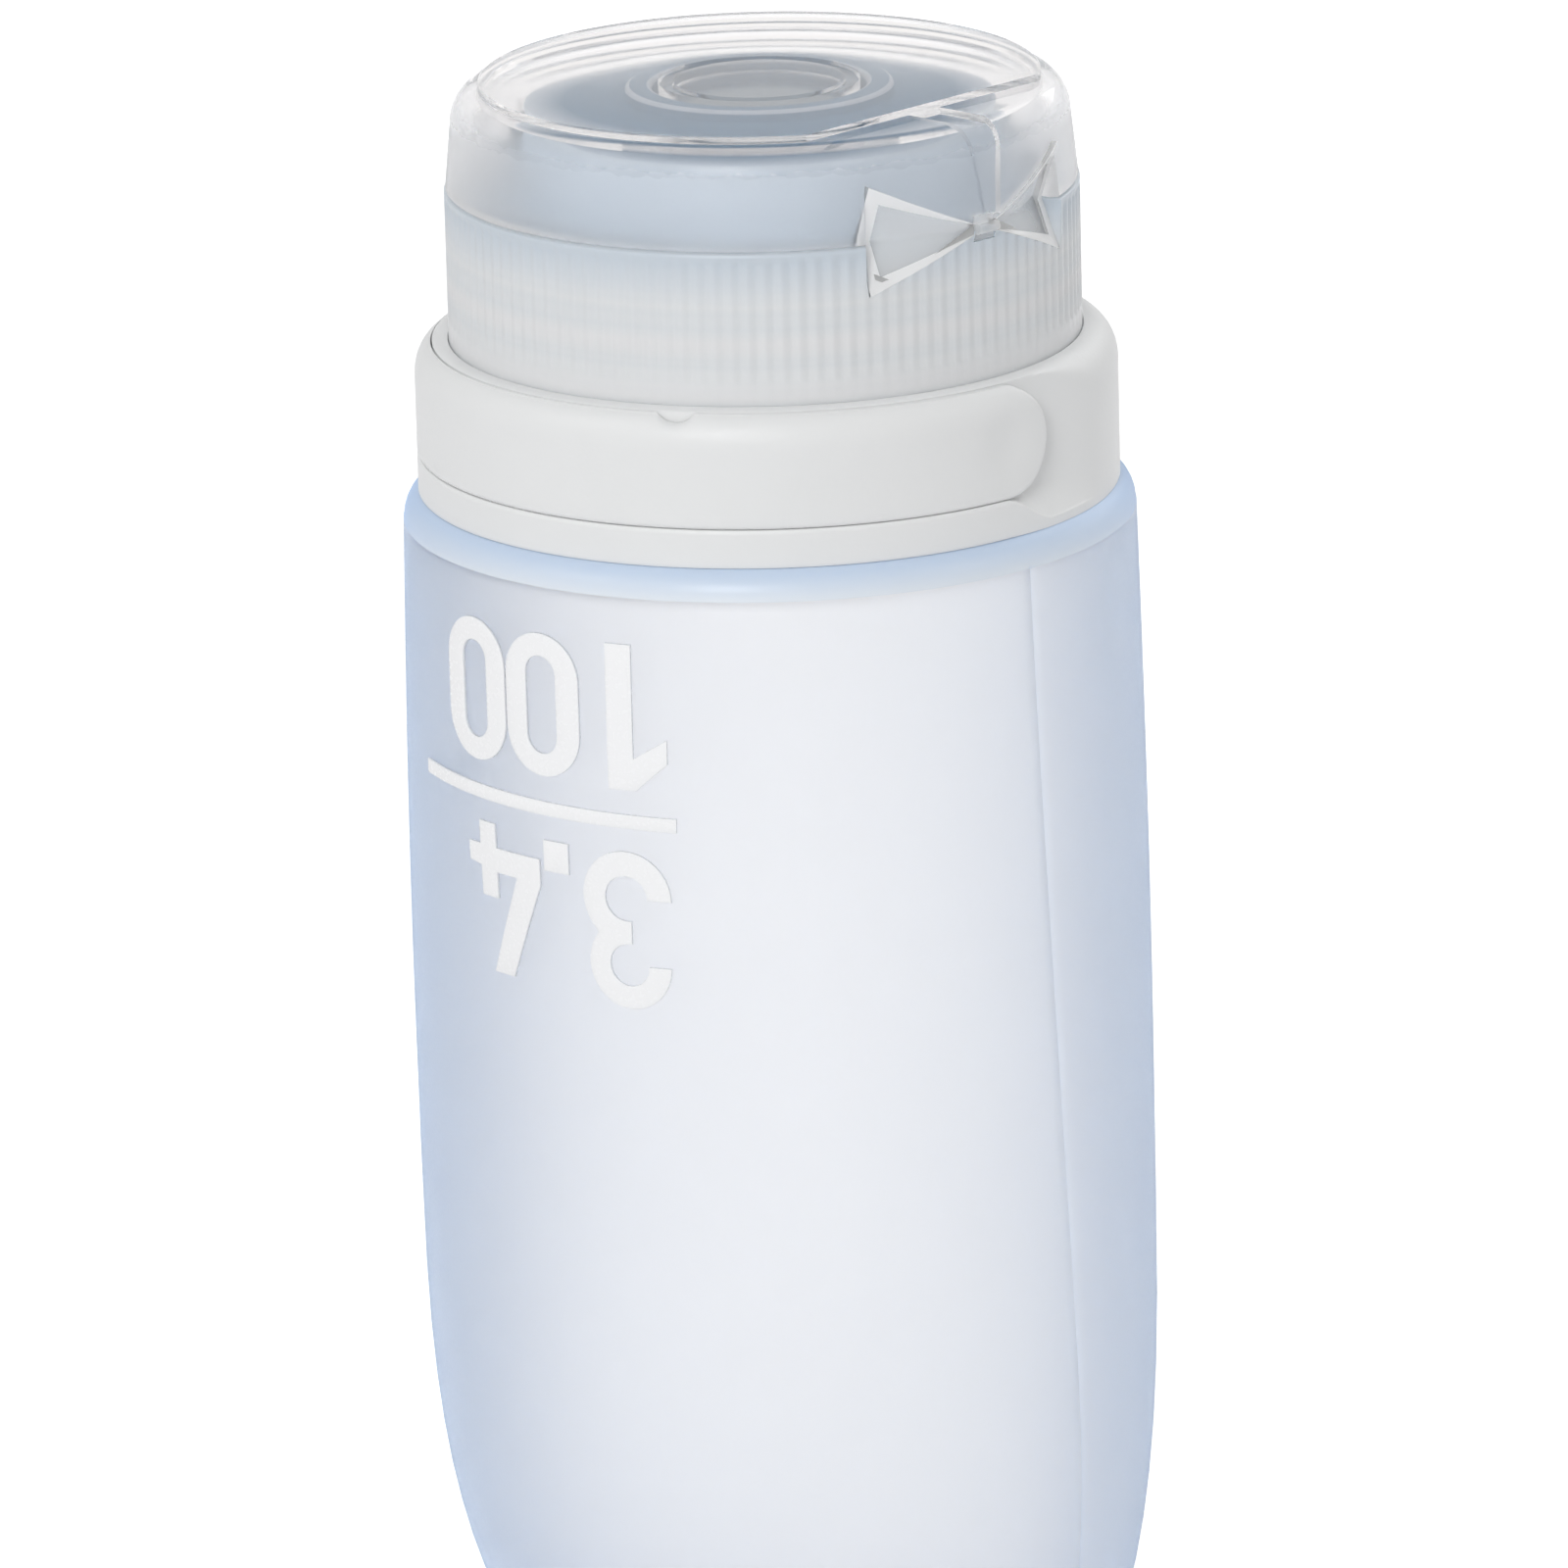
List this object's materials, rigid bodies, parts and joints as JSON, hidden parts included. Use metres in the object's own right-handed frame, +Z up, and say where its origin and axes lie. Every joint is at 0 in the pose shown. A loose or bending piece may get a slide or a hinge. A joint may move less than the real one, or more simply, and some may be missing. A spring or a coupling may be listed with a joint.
{
  "type": "travel squeeze bottle",
  "caption": "Soft silicone travel bottle with a ribbed screw cap, a clear flip lid on a butterfly hinge, and a neck collar with a swing-out loop strap.",
  "frame": {"origin": "centre of the flat foot at the body's far end", "axes": "+Z up towards the cap, +X towards the lid's hinge and along the body's wide direction, -Y towards the broad face with the capacity marks"},
  "size_m": [0.0521, 0.046, 0.112],
  "materials": {
    "soft_silicone": "matte translucent",
    "white_plastic": "satin",
    "frosted_plastic": "frosted translucent",
    "clear_plastic": "clear gloss",
    "neck_plastic": "satin",
    "seal_rubber": "matte",
    "valve_silicone": "matte translucent"
  },
  "bodies": {
    "bottle": {"bottle_body": "soft_silicone", "neck_ring": "neck_plastic", "collar": "white_plastic"},
    "strap": {"loop_strap": "white_plastic"},
    "seal": {"cap_gasket": "seal_rubber"},
    "cap": {"cap_base": "frosted_plastic", "dispensing_valve": "valve_silicone", "valve_retainer": "neck_plastic", "hinge_strip": "clear_plastic", "hinge_wing_right": "clear_plastic", "hinge_wing_left": "clear_plastic"},
    "lid": {"flip_lid": "clear_plastic"}
  },
  "joints": [
    {"name": "strap_swing", "type": "hinge", "parent": "bottle", "child": "strap", "pos_m": [-0.02057, -0.00551, 0.0908], "axis": [0, 0, -1], "range_deg": [0, 60]},
    {"name": "cap_rise", "type": "slide", "parent": "bottle", "child": "seal", "axis": [0, 0, 1], "range_m": [0, 0.0072]},
    {"name": "cap_turn", "type": "hinge", "parent": "seal", "child": "cap", "pos_m": [0, 0, 0.1], "axis": [0, 0, 1], "range_deg": [0, 810]},
    {"name": "lid_flip", "type": "hinge", "parent": "cap", "child": "lid", "pos_m": [0.0199, 0, 0.10527], "axis": [0, 1, 0], "range_deg": [0, 150], "deforming": ["hinge_strip", "hinge_wing_right", "hinge_wing_left"]}
  ],
  "couplings": [
    {"joint": "cap_rise", "follows": "cap_turn", "m_per_rad": 0.0005093}
  ]
}
